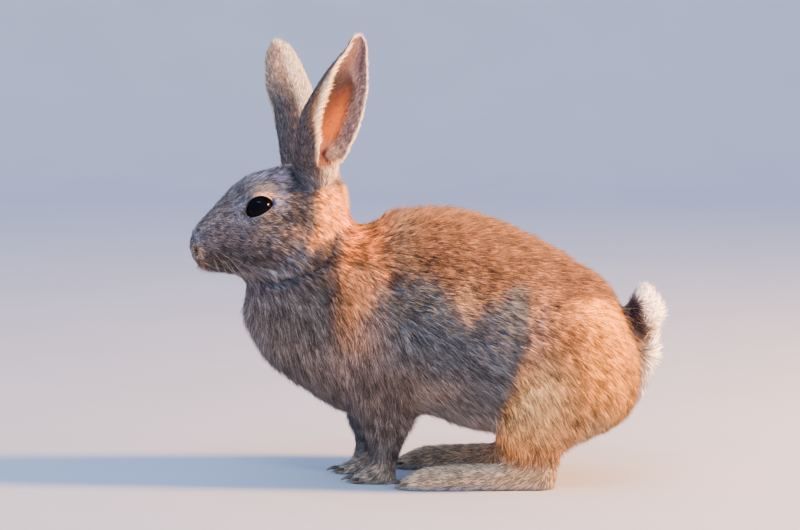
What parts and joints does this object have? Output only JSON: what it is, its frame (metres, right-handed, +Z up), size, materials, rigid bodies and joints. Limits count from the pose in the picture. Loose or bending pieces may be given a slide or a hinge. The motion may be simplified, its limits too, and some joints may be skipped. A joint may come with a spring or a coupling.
{
  "type": "rabbit",
  "caption": "Still life-size wild rabbit, alert and crouching on all fours with ears raised, short agouti coat and upturned white tail.",
  "frame": {"origin": "middle of the outline's footprint on the floor, under the belly", "axes": "+Z up, the tail towards +X and the nose towards -X, the rabbit's left side towards -Y"},
  "size_m": [0.2673, 0.116, 0.2529],
  "materials": {
    "head_fur": "short dense agouti fur, grey-beige with a pale eye ring",
    "body_fur": "dense agouti fur, sandy brown with dark tips",
    "ear_fur": "very short fine fur, pink inside",
    "tail_fur": "long soft white fur, blackish on the upper side",
    "leg_fur": "short fur, grey-brown",
    "foot_fur": "short dense fur, buff-brown",
    "eye": "wet dark brown"
  },
  "bodies": {
    "root": {"head": "head_fur", "neck": "body_fur", "trunk": "body_fur", "tail": "tail_fur", "ear_left": "ear_fur", "ear_right": "ear_fur", "eye_left": "eye", "eye_right": "eye", "foreleg_left": "leg_fur", "foreleg_right": "leg_fur", "forepaw_left": "foot_fur", "forepaw_right": "foot_fur", "thigh_left": "body_fur", "thigh_right": "body_fur", "hind_foot_left": "foot_fur", "hind_foot_right": "foot_fur"}
  },
  "joints": []
}
